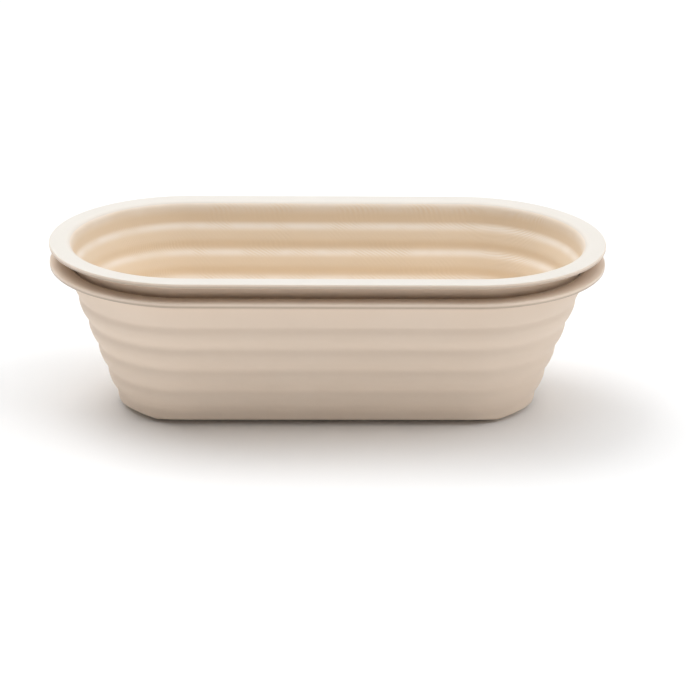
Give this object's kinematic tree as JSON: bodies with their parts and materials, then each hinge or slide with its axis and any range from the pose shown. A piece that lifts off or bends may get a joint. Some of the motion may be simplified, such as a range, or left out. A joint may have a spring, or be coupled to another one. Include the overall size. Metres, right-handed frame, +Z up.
{
  "type": "proofing basket",
  "caption": "Nested long oval wood-pulp proofing baskets for bread dough, with flared ribbed walls and a wide flat rim; the upper basket lifts straight out of the lower.",
  "frame": {"origin": "middle of the lower basket's flat underside, on the table", "axes": "+X along the oval's length, +Y across it, +Z up"},
  "size_m": [0.28, 0.14, 0.087],
  "materials": {
    "moulded_wood_pulp": "unvarnished moulded wood pulp, dead matt; fine wire-mesh grain inside, smooth outside, pressed pale rim"
  },
  "bodies": {
    "lower": {"lower_basket": "moulded_wood_pulp"},
    "upper": {"upper_basket": "moulded_wood_pulp"}
  },
  "joints": [
    {"name": "upper_lift", "type": "slide", "parent": "lower", "child": "upper", "axis": [0, 0, 1], "range_m": [0, 0.09]}
  ]
}
